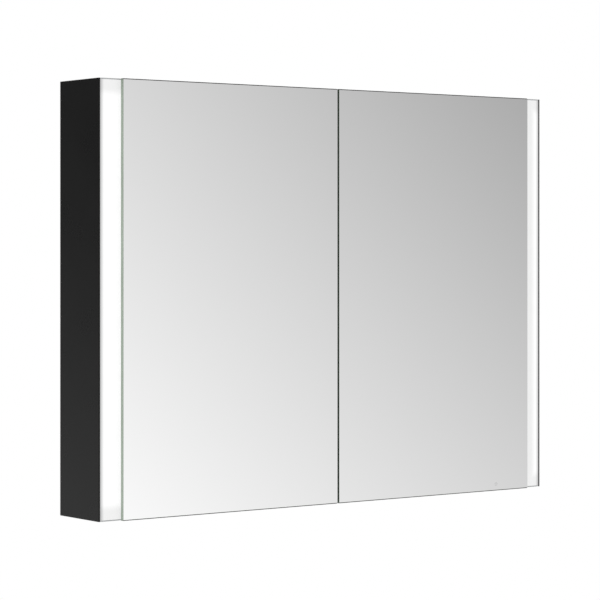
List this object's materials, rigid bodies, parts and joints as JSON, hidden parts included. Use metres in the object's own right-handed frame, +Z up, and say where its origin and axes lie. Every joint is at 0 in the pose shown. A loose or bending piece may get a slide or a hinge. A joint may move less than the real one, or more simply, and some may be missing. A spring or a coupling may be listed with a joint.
{
  "type": "medicine cabinet with mirror",
  "caption": "Wall-hung bathroom mirror cabinet with frameless mirror doors on concealed hinges, glass shelves, black sides and a lit opal strip beside each door.",
  "frame": {"origin": "middle of the wall rail's back face, on the wall", "axes": "+X to the right as seen from the front, -Y out of the wall towards the user, +Z up"},
  "size_m": [0.95, 0.13, 0.71],
  "materials": {
    "black_side": "anodised black, satin",
    "silver_aluminium": "anodised silver, fine matt",
    "back_mirror": "silvered float glass",
    "shelf_glass": "clear float glass, polished edges",
    "nickel_steel": "nickel plated",
    "bright_steel": "bright zinc plated",
    "zinc_steel": "galvanised",
    "led_board": "white solder mask",
    "opal_acrylic": "opal, satin, lit",
    "grey_plastic": "moulded, satin",
    "white_plastic": "moulded, semi gloss",
    "black_plastic": "moulded, matt",
    "lead_jacket": "extruded jacket",
    "clear_silicone": "soft, clear",
    "door_mirror": "silvered float glass, polished green edge",
    "bond_film": "acrylic adhesive film"
  },
  "bodies": {
    "cabinet": {"left_side_panel": "black_side", "right_side_panel": "black_side", "top_panel": "silver_aluminium", "bottom_panel": "silver_aluminium", "left_inner_wall": "silver_aluminium", "right_inner_wall": "silver_aluminium", "centre_partition": "silver_aluminium", "back_panel": "silver_aluminium", "left_light_channel": "silver_aluminium", "right_light_channel": "silver_aluminium", "left_back_mirror": "back_mirror", "right_back_mirror": "back_mirror", "left_shelf_1": "shelf_glass", "left_shelf_2": "shelf_glass", "left_shelf_3": "shelf_glass", "right_shelf_1": "shelf_glass", "right_shelf_2": "shelf_glass", "right_shelf_3": "shelf_glass", "shelf_pins": "nickel_steel", "left_hinge_bases": "nickel_steel", "right_hinge_bases": "nickel_steel", "hinge_screws": "bright_steel", "left_hinge_base_pins": "bright_steel", "right_hinge_base_pins": "bright_steel", "levelling_screws": "bright_steel", "bracket_rivets": "bright_steel", "wall_rail": "zinc_steel", "hanging_brackets": "zinc_steel", "left_led_board": "led_board", "right_led_board": "led_board", "left_light_cover": "opal_acrylic", "right_light_cover": "opal_acrylic", "left_light_end_caps": "grey_plastic", "right_light_end_caps": "grey_plastic", "led_driver": "white_plastic", "led_driver_lid": "white_plastic", "terminal_box": "white_plastic", "power_socket": "white_plastic", "power_socket_frame": "white_plastic", "cable_gland": "black_plastic", "touch_sensor": "black_plastic", "left_light_lead": "lead_jacket", "right_light_lead": "lead_jacket", "door_bumpers": "clear_silicone"},
    "left_short_arm": {"left_short_arms": "nickel_steel"},
    "left_long_arm": {"left_long_arms": "nickel_steel"},
    "left_door": {"left_door_mirror": "door_mirror", "left_door_bond": "bond_film", "left_door_rear_mirror": "door_mirror", "left_hinge_plates": "nickel_steel", "left_hinge_door_pins": "bright_steel"},
    "right_short_arm": {"right_short_arms": "nickel_steel"},
    "right_long_arm": {"right_long_arms": "nickel_steel"},
    "right_door": {"right_door_mirror": "door_mirror", "right_door_bond": "bond_film", "right_door_rear_mirror": "door_mirror", "right_hinge_plates": "nickel_steel", "right_hinge_door_pins": "bright_steel"}
  },
  "joints": [
    {"name": "left_door_swing", "type": "hinge", "parent": "left_short_arm", "child": "left_door", "pos_m": [-0.4263, -0.1133, 0], "axis": [0, 0, -1], "range_deg": [0, 197]},
    {"name": "left_short_arm_pivot", "type": "hinge", "parent": "cabinet", "child": "left_short_arm", "pos_m": [-0.4085, -0.113, 0], "axis": [0, 0, 1], "range_deg": [0, 102.5]},
    {"name": "left_long_arm_pivot", "type": "hinge", "parent": "cabinet", "child": "left_long_arm", "pos_m": [-0.3895, -0.0913, 0], "axis": [0, 0, 1], "range_deg": [0, 57.5]},
    {"name": "right_door_swing", "type": "hinge", "parent": "right_short_arm", "child": "right_door", "pos_m": [0.4263, -0.1133, 0], "axis": [0, 0, 1], "range_deg": [0, 197]},
    {"name": "right_short_arm_pivot", "type": "hinge", "parent": "cabinet", "child": "right_short_arm", "pos_m": [0.4085, -0.113, 0], "axis": [0, 0, -1], "range_deg": [0, 102.5]},
    {"name": "right_long_arm_pivot", "type": "hinge", "parent": "cabinet", "child": "right_long_arm", "pos_m": [0.3895, -0.0913, 0], "axis": [0, 0, -1], "range_deg": [0, 57.5]}
  ],
  "couplings": [
    {"joint": "left_short_arm_pivot", "follows": "left_door_swing", "ratio": 0.51777},
    {"joint": "left_long_arm_pivot", "follows": "left_door_swing", "ratio": 0.28934},
    {"joint": "right_short_arm_pivot", "follows": "right_door_swing", "ratio": 0.51777},
    {"joint": "right_long_arm_pivot", "follows": "right_door_swing", "ratio": 0.28934}
  ]
}
